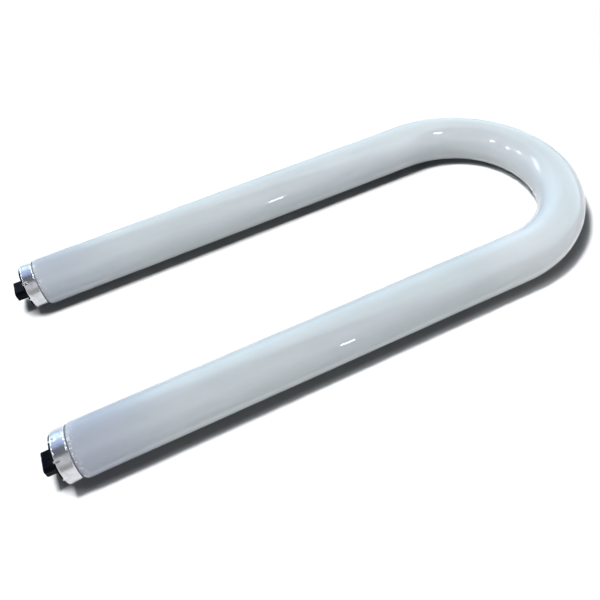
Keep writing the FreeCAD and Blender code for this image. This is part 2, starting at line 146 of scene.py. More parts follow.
def mix_coated_glass():
    """Smooth glass over a cloudy white coating, greyer beside the electrodes at both ends."""
    material, tree = start_finish("coated_glass")
    along_tube = place_node(tree, "ShaderNodeAttribute", attribute_name=STRAIGHTENED).outputs["Vector"]
    along = place_node(tree, "ShaderNodeSeparateXYZ", {0: along_tube}).outputs["X"]
    whole_length = 2 * (LEG_LENGTH + NECK_LENGTH) + math.pi * BEND_RADIUS
    from_left_end = work_out(tree, "SUBTRACT", whole_length, along)
    from_end = work_out(tree, "MINIMUM", along, from_left_end)

    cloud = stretched_noise(tree, along_tube, (0.6, 1.0, 1.0), 26.0, 3.0)
    run = stretched_noise(tree, along_tube, (0.12, 1.0, 1.0), 210.0, 2.0)
    thin_clouds = span(tree, cloud, 0.35, 0.75, 0.0, 0.7)
    thin_runs = span(tree, run, 0.35, 0.8, 0.0, 0.45)
    thin = work_out(tree, "ADD", thin_clouds, thin_runs)
    # The coating gets lighter from the legs towards the bend, the left leg sooner: painted light, standing in
    # for lamp light that falls more strongly on the bend.
    up_right_leg = span(tree, along, *RIGHT_LEG_FADE, smooth=True)
    up_left_leg = span(tree, from_left_end, *LEFT_LEG_FADE, smooth=True)
    coating = blend_colour(tree, up_right_leg, COATING_ON_RIGHT_LEG, COATING_AT_BEND)
    coating = blend_colour(tree, up_left_leg, COATING_ON_LEFT_LEG, coating)
    # A lighter band of coating where the right leg runs into the bend is painted light, for lamp light from
    # the front right.
    painted_light_rise = span(tree, along, PAINTED_LIGHT_FROM, PAINTED_LIGHT_MOST, smooth=True)
    painted_light_fall = span(tree, along, PAINTED_LIGHT_MOST, PAINTED_LIGHT_TO, 1.0, 0.0, smooth=True)
    painted_light = work_out(tree, "MULTIPLY", painted_light_rise, painted_light_fall)
    coating = blend_colour(tree, painted_light, coating, COATING_PAINTED_LIGHT)
    coating = blend_colour(tree, thin, coating, COATING_THIN, "MULTIPLY")

    ragged = stretched_noise(tree, along_tube, (0.4, 1.0, 1.0), 75.0, 3.0)
    edge = work_out(tree, "ADD", from_end, span(tree, ragged, 0.3, 0.7, -GREYED_RAGGED, GREYED_RAGGED))
    worn = span(tree, along, 0.0, whole_length, 0.95, 0.6)
    greying = work_out(tree, "MULTIPLY", span(tree, edge, *GREYED_LENGTH, 1.0, 0.0, smooth=True), worn)
    coating = blend_colour(tree, greying, coating, COATING_AT_ELECTRODE)

    # White specks on the glass shoulder beside each cap are painted highlights: the sparkles the worked
    # shoulder catches from lamps.
    specks = stretched_noise(tree, along_tube, (1.0, 1.0, 1.0), 1100.0, 0.0)
    beside_cap = span(tree, from_end, *SPARKLE_LENGTH, 1.0, 0.0)
    painted_sparkle = work_out(tree, "MULTIPLY", span(tree, specks, 0.67, 0.72), beside_cap)
    coating = blend_colour(tree, painted_sparkle, coating, PAINTED_SPARKLE)
    # A dark band on the glass just past the cap's lip is painted shade, where the lip overhangs the glass.
    shade_under_lip = span(tree, from_end, *LIP_SHADE_LENGTH, 0.85, 0.0, smooth=True)
    coating = blend_colour(tree, shade_under_lip, coating, LIP_SHADE)

    film = stretched_noise(tree, along_tube, (0.5, 1.0, 1.0), 90.0, 4.0, 0.6)
    gloss = span(tree, film, 0.35, 0.75, 0.018, 0.06)

    draw_lines = stretched_noise(tree, along_tube, (0.04, 1.0, 1.0), 120.0, 1.0)
    ripple = stretched_noise(tree, along_tube, (1.0, 1.0, 1.0), 55.0, 1.0)
    flame_worked = span(tree, from_end, *FLAME_WORKED_LENGTH, 1.0, 0.0, smooth=True)
    crinkle = stretched_noise(tree, along_tube, (1.0, 1.0, 1.0), 900.0, 2.0)
    waves = work_out(tree, "MULTIPLY", crinkle, flame_worked)
    waves = work_out(tree, "MULTIPLY_ADD", ripple, RIPPLE_SHARE, waves)
    waves = work_out(tree, "MULTIPLY_ADD", draw_lines, DRAW_LINE_SHARE, waves)
    bump = place_node(tree, "ShaderNodeBump", {"Strength": 0.5, "Distance": 0.0004, "Height": waves})
    show_finish(tree, {"Base Color": coating, "Roughness": gloss, "IOR": 1.52, "Normal": bump.outputs[0]})
    return material


def new_tree(name, inputs, takes_geometry=False):
    """A Geometry Nodes tree with named inputs. It gives the tree and its inputs' sockets by name."""
    tree = bpy.data.node_groups.new(name, "GeometryNodeTree")
    tree.is_modifier = True
    if takes_geometry:
        tree.interface.new_socket("Geometry", in_out="INPUT", socket_type="NodeSocketGeometry")
    for label, kind in inputs.items():
        tree.interface.new_socket(label, in_out="INPUT", socket_type=kind)
    tree.interface.new_socket("Geometry", in_out="OUTPUT", socket_type="NodeSocketGeometry")
    given = tree.nodes.new("NodeGroupInput")
    return tree, {socket.name: socket for socket in given.outputs if socket.name}


def end_tree(tree, geometry, material):
    """Every tree ends alike: one real mesh, smooth, in its own material."""
    real = place_node(tree, "GeometryNodeRealizeInstances", {"Geometry": geometry})
    smooth = place_node(tree, "GeometryNodeSetShadeSmooth", {"Geometry": real.outputs[0]})
    finished = place_node(tree, "GeometryNodeSetMaterial", {
        "Geometry": smooth.outputs[0], "Material": material})
    place_node(tree, "NodeGroupOutput", {0: finished.outputs[0]})


def grow(piece, tree, values):
    """Run a tree on a piece with its inputs set, and keep the result as the piece's plain mesh."""
    modifier = piece.modifiers.new(tree.name, "NODES")
    modifier.node_group = tree
    for item in tree.interface.items_tree:
        if item.in_out == "INPUT" and item.name in values:
            modifier[item.identifier] = values[item.name]
    seen = bpy.context.evaluated_depsgraph_get()
    made = bpy.data.meshes.new_from_object(
        piece.evaluated_get(seen), preserve_all_data_layers=True, depsgraph=seen)
    piece.modifiers.clear()
    spare = piece.data
    piece.data = made
    made.name = piece.name
    bpy.data.meshes.remove(spare)


def new_piece(name, mesh=None):
    piece = bpy.data.objects.new(name, mesh or bpy.data.meshes.new(name))
    bpy.context.scene.collection.objects.link(piece)
    return piece


def bent_tube_tree():
    """Rings along a U: their place and their radius follow from how far along the glass each one is."""
    lengths = ("Tube Radius", "Bend Radius", "Bend Centre X", "Bend Thinning", "Bend Run In", "Leg Length",
               "Shoulder Length", "Neck Radius", "Neck Length", "Neck Edge Radius")
    counts = ("Sides", "Neck Rings", "Leg Rings", "Bend Rings")
    inputs = {label: "NodeSocketFloat" for label in lengths}
    inputs.update({label: "NodeSocketInt" for label in counts})
    inputs["Finish"] = "NodeSocketMaterial"
    tree, given = new_tree("bent_tube", inputs)

    def add(first, second):
        return work_out(tree, "ADD", first, second)

    def take(first, second):
        return work_out(tree, "SUBTRACT", first, second)

    def times(first, second):
        return work_out(tree, "MULTIPLY", first, second)

    def stored(name):
        return place_node(tree, "GeometryNodeInputNamedAttribute", {"Name": name}).outputs[0]

    def root_of_squares(long_side, short_side):
        return work_out(tree, "SQRT", take(times(long_side, long_side), times(short_side, short_side)))

    worked = add(given["Shoulder Length"], given["Neck Length"])
    straight = take(given["Leg Length"], given["Shoulder Length"])
    half_turn = times(given["Bend Radius"], math.pi)
    leg = add(worked, straight)

    ring = place_node(tree, "GeometryNodeInputIndex").outputs[0]
    station, distance = 0, 0.0
    stretches = (("Neck Rings", worked), ("Leg Rings", straight), ("Bend Rings", half_turn),
                 ("Leg Rings", straight), ("Neck Rings", worked))
    for count, length in stretches:
        next_station = add(station, given[count])
        distance = add(distance, span(tree, ring, station, next_station, 0.0, length))
        station = next_station

    turn = work_out(tree, "DIVIDE", take(distance, leg), given["Bend Radius"])
    turn = work_out(tree, "MINIMUM", work_out(tree, "MAXIMUM", turn, 0.0), math.pi)
    out = work_out(tree, "MINIMUM", distance, leg)
    back = work_out(tree, "MAXIMUM", take(distance, add(leg, half_turn)), 0.0)
    sideways = times(work_out(tree, "SINE", turn), given["Bend Radius"])
    axis = place_node(tree, "ShaderNodeCombineXYZ", {
        "X": take(add(add(take(given["Bend Centre X"], leg), out), sideways), back),
        "Y": times(times(work_out(tree, "COSINE", turn), given["Bend Radius"]), -1.0),
        "Z": given["Tube Radius"],
    })

    from_end = work_out(tree, "MINIMUM", distance, take(add(add(leg, leg), half_turn), distance))
    edge = given["Neck Edge Radius"]
    before_edge = work_out(tree, "MAXIMUM", take(edge, from_end), 0.0)
    neck = add(take(given["Neck Radius"], edge), root_of_squares(edge, before_edge))
    drop = take(given["Tube Radius"], given["Neck Radius"])
    run = given["Shoulder Length"]
    flare = work_out(tree, "DIVIDE", add(times(run, run), times(drop, drop)), times(drop, 2.0))
    into_shoulder = work_out(tree, "MINIMUM", work_out(tree, "MAXIMUM", take(worked, from_end), 0.0), run)
    shoulder = take(given["Tube Radius"], take(flare, root_of_squares(flare, into_shoulder)))
    on_neck = work_out(tree, "LESS_THAN", from_end, take(given["Neck Length"], 1e-6))
    into_bend = work_out(tree, "MINIMUM", turn, take(math.pi, turn))
    drawn = span(tree, into_bend, 0.0, given["Bend Run In"], 0.0, given["Bend Thinning"], smooth=True)
    radius = take(add(times(neck, on_neck), times(shoulder, take(1.0, on_neck))), drawn)

    line = place_node(tree, "GeometryNodeCurvePrimitiveLine")
    rings = place_node(tree, "GeometryNodeResampleCurve", {
        "Curve": line.outputs[0], "Count": add(station, 1)})
    marked = place_node(tree, "GeometryNodeStoreNamedAttribute", {
        "Geometry": rings.outputs[0], "Name": "along", "Value": distance}, domain="POINT")
    sized = place_node(tree, "GeometryNodeStoreNamedAttribute", {
        "Geometry": marked.outputs[0], "Name": "reach", "Value": radius}, domain="POINT")
    bent = place_node(tree, "GeometryNodeSetPosition", {
        "Geometry": sized.outputs[0], "Position": axis.outputs[0]})
    level = place_node(tree, "GeometryNodeSetCurveNormal", {"Curve": bent.outputs[0]}, mode="Z_UP")

    circle = place_node(tree, "GeometryNodeCurvePrimitiveCircle", {
        "Resolution": given["Sides"], "Radius": 1.0})
    factor = place_node(tree, "GeometryNodeSplineParameter").outputs["Factor"]
    section = place_node(tree, "GeometryNodeStoreNamedAttribute", {
        "Geometry": circle.outputs[0], "Name": "around", "Value": factor}, domain="POINT")
    reach = stored("reach")
    glass = place_node(tree, "GeometryNodeCurveToMesh", {
        "Curve": level.outputs[0], "Profile Curve": section.outputs[0], "Scale": reach, "Fill Caps": True})

    angle = times(stored("around"), 2 * math.pi)
    unbent = place_node(tree, "ShaderNodeCombineXYZ", {
        "X": stored("along"),
        "Y": times(work_out(tree, "COSINE", angle), reach),
        "Z": times(work_out(tree, "SINE", angle), reach),
    })
    unrolled = place_node(tree, "GeometryNodeStoreNamedAttribute", {
        "Geometry": glass.outputs[0], "Name": STRAIGHTENED, "Value": unbent.outputs[0],
    }, data_type="FLOAT_VECTOR", domain="POINT")
    end_tree(tree, unrolled.outputs[0], given["Finish"])
    return tree


tube = new_piece("lamp_tube")
grow(tube, bent_tube_tree(), {
    "Tube Radius": TUBE_RADIUS, "Bend Radius": BEND_RADIUS, "Bend Centre X": BEND_CENTRE_X,
    "Bend Thinning": BEND_THINNING, "Bend Run In": BEND_RUN_IN, "Leg Length": LEG_LENGTH,
    "Shoulder Length": SHOULDER_LENGTH, "Neck Radius": NECK_RADIUS, "Neck Length": NECK_LENGTH,
    "Neck Edge Radius": NECK_EDGE_RADIUS,
    "Sides": 96, "Neck Rings": 36, "Leg Rings": 48, "Bend Rings": 128,
    "Finish": mix_coated_glass(),
})
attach(tube, "root")
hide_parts("glass_tube")

# Basing cement: a brown ring of resin and marble flour that is pressed between the glass neck and the shell
# and baked hard. It is seen only where the cap comes apart, so the CAD solid stays.
CEMENT_BROWN = (0.20, 0.115, 0.052, 1.0)
CEMENT_FLOUR = (0.36, 0.27, 0.17, 1.0)


def object_coordinates(tree):
    return place_node(tree, "ShaderNodeTexCoord").outputs["Object"]


def mix_basing_cement():
    material, tree = start_finish("basing_cement")
    spot = object_coordinates(tree)
    grain = stretched_noise(tree, spot, (1.0, 1.0, 1.0), 1400.0, 4.0, 0.65)
    lumps = stretched_noise(tree, spot, (1.0, 1.0, 1.0), 420.0, 2.0)
    colour = blend_colour(tree, span(tree, grain, 0.4, 0.68), CEMENT_BROWN, CEMENT_FLOUR)
    height = work_out(tree, "ADD", grain, lumps)
    bump = place_node(tree, "ShaderNodeBump", {"Strength": 0.6, "Distance": 0.0003, "Height": height})
    show_finish(tree, {"Base Color": colour, "Roughness": 0.88, "Normal": bump.outputs[0]})
    return material


def finish_nodes(material, nodes):
    """Give kept CAD nodes their material."""
    for name in nodes:
        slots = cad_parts[name].material_slots
        for place in slots:
            place.material = material


finish_nodes(mix_basing_cement(), ("left_basing_cement", "right_basing_cement"))

# Cap shells: drawn from thin bright aluminium sheet, flared at the lip that meets the glass and rolled in at
# the rim. Eight staked crimps round the rim, each a struck groove with a raised lug, hold the insulator.
CAP_SIDES = 320
CAP_WALL = 0.00045
CAP_LIP_LENGTH = 0.0012
CAP_LIP_RISE = 0.00045
CAP_RIM_RADIUS = 0.0011
CAP_RIM_WIDTH = 0.0013
SHEET_EDGE_RADIUS = 0.00018
STAKES = {
    "Count": 8, "First Angle": math.radians(83.0),
    "Groove Depth": 0.0003, "Groove Half Width": 0.0014, "Groove Length": 0.0038, "Groove Run Out": 0.0008,
    "Lug Width": 0.0015, "Lug Thickness": 0.00072, "Lug Height": 0.0007,
}
STRUCK_SKIN = 0.0004
LUG_SETBACK = 0.00083
WALL_STEPS = 26
ALUMINIUM_BRIGHT = (0.60, 0.61, 0.63, 1.0)
ALUMINIUM_DULL = (0.44, 0.445, 0.46, 1.0)


def arc(centre, radius, start, end, steps):
    """Points of an arc in a half-section, from angle to angle in degrees."""
    angles = [math.radians(start + (end - start) * step / steps) for step in range(steps + 1)]
    return [(centre[0] + radius * math.cos(a), centre[1] + radius * math.sin(a)) for a in angles]


def cap_half_section(length, radius):
    """Closed outline of the shell's wall: (distance out from the lip, distance from the axis)."""
    bore = radius - CAP_WALL
    corner = length - CAP_RIM_RADIUS
    flare = (CAP_LIP_LENGTH ** 2 + CAP_LIP_RISE ** 2) / (2 * CAP_LIP_RISE)
    sweep = math.degrees(math.asin(CAP_LIP_LENGTH / flare))
    rim_bore = radius - CAP_RIM_WIDTH
    edge = SHEET_EDGE_RADIUS
    wall_step = (corner - CAP_LIP_LENGTH) / WALL_STEPS
    wall = [(CAP_LIP_LENGTH + wall_step * step, radius) for step in range(1, WALL_STEPS)]
    lip = arc((CAP_LIP_LENGTH, radius + flare), flare, 270.0 - sweep, 270.0, 10)
    rim = arc((corner, radius - CAP_RIM_RADIUS), CAP_RIM_RADIUS, 90.0, 0.0, 12)
    rim_edge = arc((length - edge, rim_bore + edge), edge, 0.0, -90.0, 3)
    rim_edge += arc((length - CAP_WALL + edge, rim_bore + edge), edge, -90.0, -180.0, 3)
    inner_corner = arc((corner, radius - CAP_RIM_RADIUS), CAP_RIM_RADIUS - CAP_WALL, 0.0, 90.0, 6)
    inner_lip = arc((CAP_LIP_LENGTH, bore + flare), flare, 270.0, 270.0 - sweep, 6)
    return lip + wall + rim + rim_edge + inner_corner + inner_lip


def turn_shape(name, outline, sides, edge_x, centre_y, centre_z):
    """Turn a closed half-section about a leg's axis. It points out along -X from edge_x."""
    mesh = bpy.data.meshes.new(name)
    points, faces = [], []
    for side in range(sides):
        angle = 2 * math.pi * side / sides
        for out, reach in outline:
            across = reach * math.cos(angle)
            upwards = reach * math.sin(angle)
            points.append((edge_x - out, centre_y + across, centre_z + upwards))
    step = len(outline)
    for side in range(sides):
        here, there = side * step, (side + 1) % sides * step
        for place in range(step):
            beside = (place + 1) % step
            faces.append((here + place, there + place, there + beside, here + beside))
    mesh.from_pydata(points, [], faces)
    turned = bmesh.new()
    turned.from_mesh(mesh)
    bmesh.ops.remove_doubles(turned, verts=turned.verts, dist=1e-7)
    bmesh.ops.recalc_face_normals(turned, faces=turned.faces)
    turned.to_mesh(mesh)
    turned.free()
    return mesh


def staking_tree():
    """Strike evenly spaced grooves into a shell's outer corner, and raise a lug on the rim beside each."""
    lengths = ("First Angle", "Groove Depth", "Groove Half Width", "Groove Length", "Groove Run Out",
               "Lug Width", "Lug Thickness", "Lug Height", "Lug Circle", "Shell Radius", "Rim X",
               "Axis Y", "Axis Z")
    inputs = {"Count": "NodeSocketInt"}
    inputs.update({label: "NodeSocketFloat" for label in lengths})
    inputs["Finish"] = "NodeSocketMaterial"
    tree, given = new_tree("staking", inputs, takes_geometry=True)

    position = place_node(tree, "GeometryNodeInputPosition").outputs[0]
    place = place_node(tree, "ShaderNodeSeparateXYZ", {0: position})
    across = work_out(tree, "SUBTRACT", place.outputs["Y"], given["Axis Y"])
    upwards = work_out(tree, "SUBTRACT", place.outputs["Z"], given["Axis Z"])
    pitch = work_out(tree, "DIVIDE", 2 * math.pi, given["Count"])
    angle = work_out(tree, "SUBTRACT", work_out(tree, "ARCTAN2", upwards, across), given["First Angle"])
    turns = work_out(tree, "DIVIDE", angle, pitch)
    off_middle = work_out(tree, "SUBTRACT", turns, work_out(tree, "ROUND", turns))
    off_middle = work_out(tree, "MULTIPLY", off_middle, pitch)
    off_middle = work_out(tree, "MULTIPLY", off_middle, given["Shell Radius"])
    groove = span(tree, work_out(tree, "ABSOLUTE", off_middle), 0.0, given["Groove Half Width"], 1.0, 0.0)
    from_rim = work_out(tree, "SUBTRACT", place.outputs["X"], given["Rim X"])
    run_out = work_out(tree, "SUBTRACT", given["Groove Length"], given["Groove Run Out"])
    struck = span(tree, from_rim, run_out, given["Groove Length"], 1.0, 0.0, smooth=True)
    squares = work_out(tree, "MULTIPLY_ADD", across, across, work_out(tree, "MULTIPLY", upwards, upwards))
    reach = work_out(tree, "SQRT", squares)
    under_skin = work_out(tree, "SUBTRACT", given["Shell Radius"], reach)
    outer = span(tree, under_skin, 0.0, STRUCK_SKIN, 1.0, 0.0, smooth=True)
    depth = work_out(tree, "MULTIPLY", work_out(tree, "MULTIPLY", groove, struck),
                     work_out(tree, "MULTIPLY", outer, given["Groove Depth"]))
    inwards = work_out(tree, "DIVIDE", work_out(tree, "MULTIPLY", depth, -1.0), reach)
    push = place_node(tree, "ShaderNodeCombineXYZ", {
        "Y": work_out(tree, "MULTIPLY", across, inwards), "Z": work_out(tree, "MULTIPLY", upwards, inwards)})
    shell = place_node(tree, "GeometryNodeSetPosition", {
        "Geometry": given["Geometry"], "Offset": push.outputs[0]})

    number = place_node(tree, "GeometryNodeInputIndex").outputs[0]
    lug_angle = work_out(tree, "MULTIPLY_ADD", number, pitch, given["First Angle"])
    cosine = work_out(tree, "COSINE", lug_angle)
    sine = work_out(tree, "SINE", lug_angle)
    lug_place = place_node(tree, "ShaderNodeCombineXYZ", {
        "X": given["Rim X"],
        "Y": work_out(tree, "MULTIPLY_ADD", cosine, given["Lug Circle"], given["Axis Y"]),
        "Z": work_out(tree, "MULTIPLY_ADD", sine, given["Lug Circle"], given["Axis Z"]),
    })
    row = place_node(tree, "GeometryNodeMeshLine", {"Count": given["Count"]})
    ring = place_node(tree, "GeometryNodeSetPosition", {
        "Geometry": row.outputs[0], "Position": lug_place.outputs[0]})
    lug_size = place_node(tree, "ShaderNodeCombineXYZ", {
        "X": work_out(tree, "MULTIPLY", given["Lug Height"], 2.0),
        "Y": given["Lug Thickness"],
        "Z": given["Lug Width"],
    })
    block = place_node(tree, "GeometryNodeMeshCube", {"Size": lug_size.outputs[0]})
    lug = place_node(tree, "GeometryNodeSubdivisionSurface", {
        "Mesh": block.outputs[0], "Level": 3, "Edge Crease": 0.55})
    turned = place_node(tree, "FunctionNodeAxisAngleToRotation", {
        "Axis": (1.0, 0.0, 0.0), "Angle": lug_angle})
    lugs = place_node(tree, "GeometryNodeInstanceOnPoints", {
        "Points": ring.outputs[0], "Instance": lug.outputs[0], "Rotation": turned.outputs[0]})
    both = place_node(tree, "GeometryNodeJoinGeometry", {"Geometry": shell.outputs[0]})
    tree.links.new(lugs.outputs[0], both.inputs[0])
    end_tree(tree, both.outputs[0], given["Finish"])
    return tree


def mix_cap_aluminium():
    """Bright sheet with fine lines round it from drawing and trimming, dulled in patches by handling."""
    material, tree = start_finish("cap_aluminium")
    spot = object_coordinates(tree)
    lines = stretched_noise(tree, spot, (1.0, 0.02, 0.02), 5200.0, 3.0, 0.6)
    broad_lines = stretched_noise(tree, spot, (1.0, 0.05, 0.05), 900.0, 2.0)
    patches = stretched_noise(tree, spot, (1.0, 1.0, 1.0), 240.0, 4.0, 0.6)
    dull = work_out(tree, "MULTIPLY", span(tree, patches, 0.45, 0.72), 0.6)
    colour = blend_colour(tree, dull, ALUMINIUM_BRIGHT, ALUMINIUM_DULL)
    gloss = span(tree, broad_lines, 0.3, 0.7, 0.13, 0.21)
    gloss = work_out(tree, "ADD", gloss, span(tree, patches, 0.4, 0.75, 0.0, 0.08))
    bump = place_node(tree, "ShaderNodeBump", {"Strength": 0.35, "Distance": 0.00003, "Height": lines})
    show_finish(tree, {"Base Color": colour, "Metallic": 1.0, "Roughness": gloss, "Normal": bump.outputs[0]})
    return material


cap_aluminium = mix_cap_aluminium()
staking = staking_tree()
for leg in ("left", "right"):
    cap_low, cap_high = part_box(f"{leg}_cap_shell")
    axis_y = (cap_low.y + cap_high.y) / 2
    axis_z = (cap_low.z + cap_high.z) / 2
    cap_radius = (cap_high.z - cap_low.z) / 2 - CAP_LIP_RISE
    rim_x = cap_low.x + STAKES["Lug Height"]
    outline = cap_half_section(cap_high.x - rim_x, cap_radius)
    cap = new_piece(f"{leg}_cap", turn_shape(f"{leg}_cap", outline, CAP_SIDES, cap_high.x, axis_y, axis_z))
    grow(cap, staking, {
        **STAKES, "Shell Radius": cap_radius, "Lug Circle": cap_radius - LUG_SETBACK,
        "Rim X": rim_x, "Axis Y": axis_y, "Axis Z": axis_z, "Finish": cap_aluminium,
    })
    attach(cap, "root")
    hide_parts(f"{leg}_cap_shell")

# Insulators: black thermoset mouldings, a disc behind the rim with an oblong boss standing out of it.
# Two square wells in the boss keep the live contacts out of reach.
MOULDING_BLACK = (0.0012, 0.0014, 0.0026, 1.0)
MOULDING_BLOOM = (0.004, 0.0045, 0.007, 1.0)


def mix_black_moulding():
    material, tree = start_finish("black_moulding")
    spot = object_coordinates(tree)
    bloom = stretched_noise(tree, spot, (1.0, 1.0, 1.0), 300.0, 4.0, 0.6)
    grain = stretched_noise(tree, spot, (1.0, 1.0, 1.0), 3200.0, 3.0, 0.6)
    colour = blend_colour(tree, span(tree, bloom, 0.45, 0.75), MOULDING_BLACK, MOULDING_BLOOM)
    gloss = span(tree, bloom, 0.35, 0.75, 0.14, 0.32)
    bump = place_node(tree, "ShaderNodeBump", {"Strength": 0.25, "Distance": 0.00005, "Height": grain})
    show_finish(tree, {
        "Base Color": colour, "Roughness": gloss, "Specular IOR Level": 0.05, "Normal": bump.outputs[0]})
    return material


finish_nodes(mix_black_moulding(), ("left_insulator", "right_insulator"))

# Contacts: turned brass rivets, one through the floor of each well. Each has its head in the well and is
# spread behind the disc, which fixes it and leaves a hole for the lead wire.
BRASS_BRIGHT = (0.74, 0.56, 0.27, 1.0)
BRASS_TARNISH = (0.36, 0.23, 0.10, 1.0)


def mix_contact_brass():
    material, tree = start_finish("contact_brass")
    spot = object_coordinates(tree)
    tarnish = stretched_noise(tree, spot, (1.0, 1.0, 1.0), 900.0, 4.0, 0.6)
    scuffs = stretched_noise(tree, spot, (0.3, 1.0, 0.15), 7000.0, 2.0)
    colour = blend_colour(tree, span(tree, tarnish, 0.48, 0.8), BRASS_BRIGHT, BRASS_TARNISH)
    gloss = span(tree, tarnish, 0.35, 0.75, 0.18, 0.42)
    bump = place_node(tree, "ShaderNodeBump", {"Strength": 0.3, "Distance": 0.00002, "Height": scuffs})
    show_finish(tree, {"Base Color": colour, "Metallic": 1.0, "Roughness": gloss, "Normal": bump.outputs[0]})
    return material


places = [f"{leg}_{where}" for leg in ("left", "right") for where in ("inner", "outer")]
finish_nodes(mix_contact_brass(), [f"{place}_contact" for place in places])

# Lead wires: drawn nickel-plated wires that come out of the seal in the glass. Each is pushed into the back
# of its rivet and held there.
WIRE_BRIGHT = (0.62, 0.60, 0.55, 1.0)
WIRE_DULL = (0.40, 0.38, 0.34, 1.0)


def mix_lead_wire():
    material, tree = start_finish("lead_wire")
    spot = object_coordinates(tree)
    die_lines = stretched_noise(tree, spot, (0.03, 1.0, 1.0), 9000.0, 2.0)
    colour = blend_colour(tree, span(tree, die_lines, 0.4, 0.7), WIRE_BRIGHT, WIRE_DULL)
    bump = place_node(tree, "ShaderNodeBump", {"Strength": 0.3, "Distance": 0.00001, "Height": die_lines})
    show_finish(tree, {
        "Base Color": colour, "Metallic": 1.0, "Roughness": span(tree, die_lines, 0.3, 0.7, 0.25, 0.4),
        "Normal": bump.outputs[0]})
    return material


finish_nodes(mix_lead_wire(), [f"{place}_lead" for place in places])

# Floor: a wide white matt board that the lamp lies on. Close under the tube and round the caps its colour is
# darkened by painted shade, and further off it looks plain white.
FLOOR_REACH = 6.0
FLOOR_WHITE = (1.0, 1.0, 1.0, 1.0)
FLOOR_BOUNCE = (0.70, 0.69, 0.68, 1.0)
CONTACT_SHADE = (0.22, 0.22, 0.22, 1.0)
SHADE_DISTANCE = 0.03
SHADE_LEAN_AT_CAPS = 0.1
SHADE_LEAN_AT_BEND = -1.4
SHADE_LEAN_BACK = 0.03
SHADED_AT_CAPS = 0.43
SHADED_AT_BEND = 0.53
SHADE_SOFTNESS = 0.16
CAP_SHADE = 0.15
CAP_SHADE_REACH = 0.032
WHITE_FROM = 0.28
WHITE_TO = 0.46


def lay_floor():
    mesh = bpy.data.meshes.new("floor")
    corners = [(-FLOOR_REACH, -FLOOR_REACH, 0.0), (FLOOR_REACH, -FLOOR_REACH, 0.0),
               (FLOOR_REACH, FLOOR_REACH, 0.0), (-FLOOR_REACH, FLOOR_REACH, 0.0)]
    mesh.from_pydata(corners, [], [(0, 1, 2, 3)])
    material, tree = start_finish("white_board")
    spot = object_coordinates(tree)
    along = place_node(tree, "ShaderNodeSeparateXYZ", {0: spot}).outputs["X"]
    lean = span(tree, along, cad_low.x, cad_high.x, SHADE_LEAN_AT_CAPS, SHADE_LEAN_AT_BEND)
    upwards = place_node(tree, "ShaderNodeCombineXYZ", {"X": lean, "Y": SHADE_LEAN_BACK, "Z": 1.0}).outputs[0]
    upwards = place_node(tree, "ShaderNodeVectorMath", {0: upwards}, operation="NORMALIZE").outputs[0]
    # Painted shade: the board's colour goes darker where the lamp is close overhead.
    closeness = place_node(tree, "ShaderNodeAmbientOcclusion", {
        "Distance": SHADE_DISTANCE, "Normal": upwards}, samples=32)
    shaded = span(tree, along, cad_low.x, cad_high.x, SHADED_AT_CAPS, SHADED_AT_BEND)
    round_caps = span(tree, along, cad_low.x, cad_low.x + CAP_SHADE_REACH, CAP_SHADE, 0.0, smooth=True)
    shaded = work_out(tree, "ADD", shaded, round_caps)
    unshaded = work_out(tree, "ADD", shaded, SHADE_SOFTNESS)
    open_air = span(tree, closeness.outputs["AO"], shaded, unshaded, smooth=True)
    colour = blend_colour(tree, open_air, CONTACT_SHADE, FLOOR_WHITE)
    ray = place_node(tree, "ShaderNodeLightPath").outputs
    colour = blend_colour(tree, ray["Is Diffuse Ray"], colour, FLOOR_BOUNCE)
    board = place_node(tree, "ShaderNodeBsdfDiffuse", {"Color": colour})
    off_middle = place_node(tree, "ShaderNodeVectorMath", {0: spot}, operation="LENGTH").outputs["Value"]
    far_off = span(tree, off_middle, WHITE_FROM, WHITE_TO, smooth=True)
    mirrored = work_out(tree, "MAXIMUM", ray["Is Glossy Ray"], ray["Is Transmission Ray"])
    seen = work_out(tree, "MAXIMUM", ray["Is Camera Ray"], mirrored)
    white = place_node(tree, "ShaderNodeEmission", {"Color": FLOOR_WHITE, "Strength": 1.0})
    board = place_node(tree, "ShaderNodeMixShader", {
        0: work_out(tree, "MULTIPLY", far_off, seen), 1: board.outputs[0], 2: white.outputs[0]})
    place_node(tree, "ShaderNodeOutputMaterial", {"Surface": board.outputs[0]})
    mesh.materials.append(material)
    return new_piece("floor", mesh)


lay_floor()

# Room: as glass and metal mirror it, a long bright window side on the right, a strip of light low at the
# back, a dim ceiling and pale walls in front. The light it gives is softer and plainer. A round key lamp
# hangs over the caps' end, and a few small lamps far off leave sharp glints.
LEFT_SIDE = {
    0.0: (0.75, 0.95, 1.4), 10.0: (0.75, 0.95, 1.4), 16.0: (1.1, 1.45, 1.6),
    36.0: (1.1, 1.45, 1.6), 44.0: (0.70, 0.86, 1.3), 74.0: (0.55, 0.65, 0.96),
    86.0: (0.20, 0.21, 0.25), 114.0: (0.20, 0.21, 0.25), 127.0: (0.82, 0.82, 0.84),
    148.0: (0.82, 0.82, 0.84), 164.0: (0.46, 0.46, 0.47), 180.0: (0.52, 0.52, 0.53),
}
WINDOW_SIDE = {
    0.0: (0.75, 1.05, 1.25), 10.0: (1.2, 1.7, 1.9), 22.0: (2.1, 2.65, 2.8),
    138.0: (1.85, 2.25, 2.35), 150.0: (0.9, 0.9, 0.9), 180.0: (0.9, 0.9, 0.9),
}
WINDOW_FACES = (0.907, 0.363, -0.212)
WINDOW_FACE_SOFTNESS = 0.02
WINDOW_EDGE = -0.11
WINDOW_EDGE_SOFTNESS = 0.04
BACK_LIGHT = (4.1, 5.8, 7.4, 1.0)
FRONT_LIGHT = (0.55, 0.55, 0.55, 1.0)
RIGHT_LIGHT = (5.8, 5.9, 6.0, 1.0)
CEILING_LIGHT = (0.03, 0.03, 0.033, 1.0)
